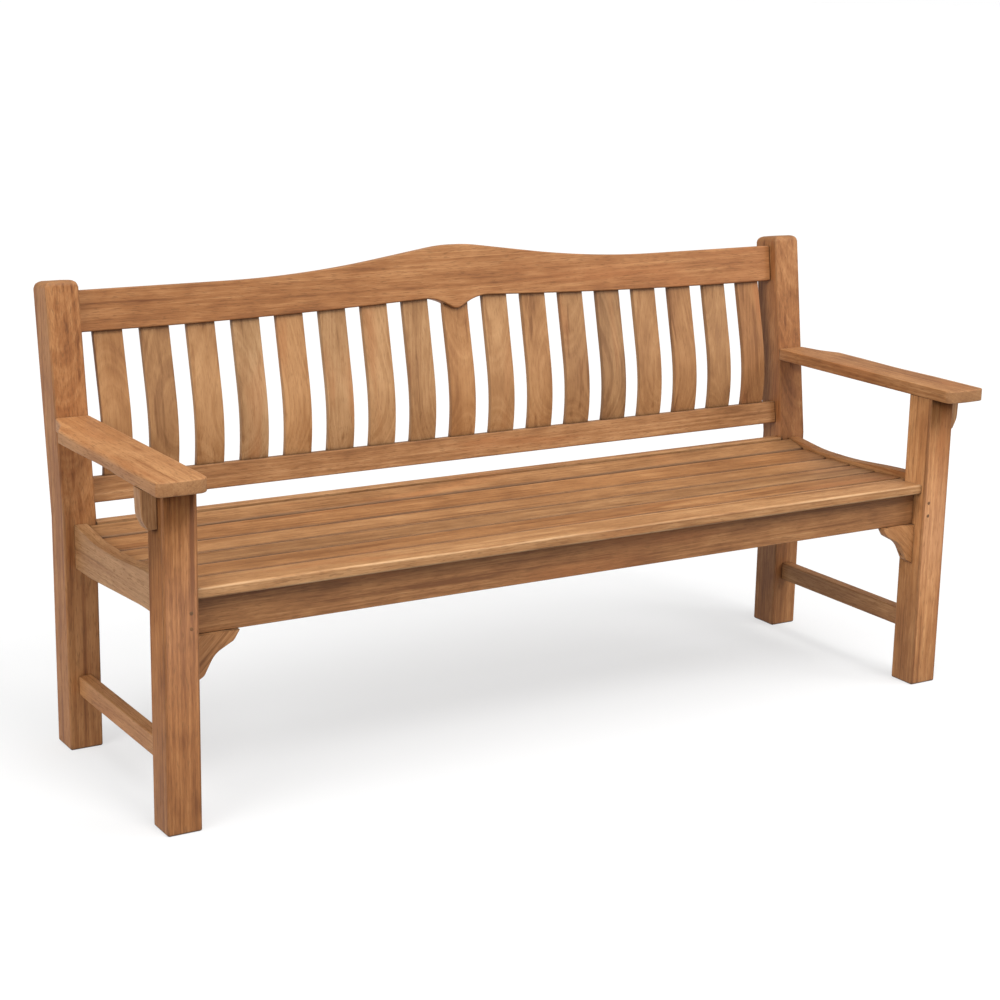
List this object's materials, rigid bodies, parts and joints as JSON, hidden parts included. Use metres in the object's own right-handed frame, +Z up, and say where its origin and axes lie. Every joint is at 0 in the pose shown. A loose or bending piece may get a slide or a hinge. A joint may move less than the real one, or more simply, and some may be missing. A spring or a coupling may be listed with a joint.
{
  "type": "garden bench",
  "caption": "Wooden garden bench with square legs, flat shaped arms, dished slatted seat, bowed upright back slats and a top rail with a central crest.",
  "frame": {"origin": "on the ground under the middle of the bench's bounding box", "axes": "+X to the right as seen from the front, +Y from the front towards the back, +Z up"},
  "size_m": [1.8006, 0.652, 0.9046],
  "materials": {
    "teak_frame": "planed and sanded, unoiled",
    "teak_slats": "planed and sanded, unoiled",
    "teak_pegs": "turned, flush cut",
    "stainless_steel": "satin"
  },
  "bodies": {
    "root": {"front_leg_left": "teak_frame", "front_leg_right": "teak_frame", "back_leg_left": "teak_frame", "back_leg_right": "teak_frame", "armrest_left": "teak_frame", "armrest_right": "teak_frame", "arm_corbel_left": "teak_frame", "arm_corbel_right": "teak_frame", "top_rail": "teak_frame", "lower_back_rail": "teak_frame", "back_slat_1": "teak_slats", "back_slat_2": "teak_slats", "back_slat_3": "teak_slats", "back_slat_4": "teak_slats", "back_slat_5": "teak_slats", "back_slat_6": "teak_slats", "back_slat_7": "teak_slats", "back_slat_8": "teak_slats", "back_slat_9": "teak_slats", "back_slat_10": "teak_slats", "back_slat_11": "teak_slats", "back_slat_12": "teak_slats", "back_slat_13": "teak_slats", "back_slat_14": "teak_slats", "back_slat_15": "teak_slats", "back_slat_16": "teak_slats", "back_slat_17": "teak_slats", "seat_slat_1": "teak_slats", "seat_slat_2": "teak_slats", "seat_slat_3": "teak_slats", "seat_slat_4": "teak_slats", "seat_slat_5": "teak_slats", "seat_slat_6": "teak_slats", "front_seat_rail": "teak_frame", "rear_seat_rail": "teak_frame", "side_seat_rail_left": "teak_frame", "side_seat_rail_right": "teak_frame", "seat_cleat_left": "teak_frame", "seat_cleat_right": "teak_frame", "seat_bearer_left": "teak_frame", "seat_bearer_right": "teak_frame", "side_stretcher_left": "teak_frame", "side_stretcher_right": "teak_frame", "corner_bracket_left": "teak_frame", "corner_bracket_right": "teak_frame", "tenon_pegs": "teak_pegs", "seat_slat_screws": "stainless_steel", "bracket_screws": "stainless_steel"}
  },
  "joints": []
}
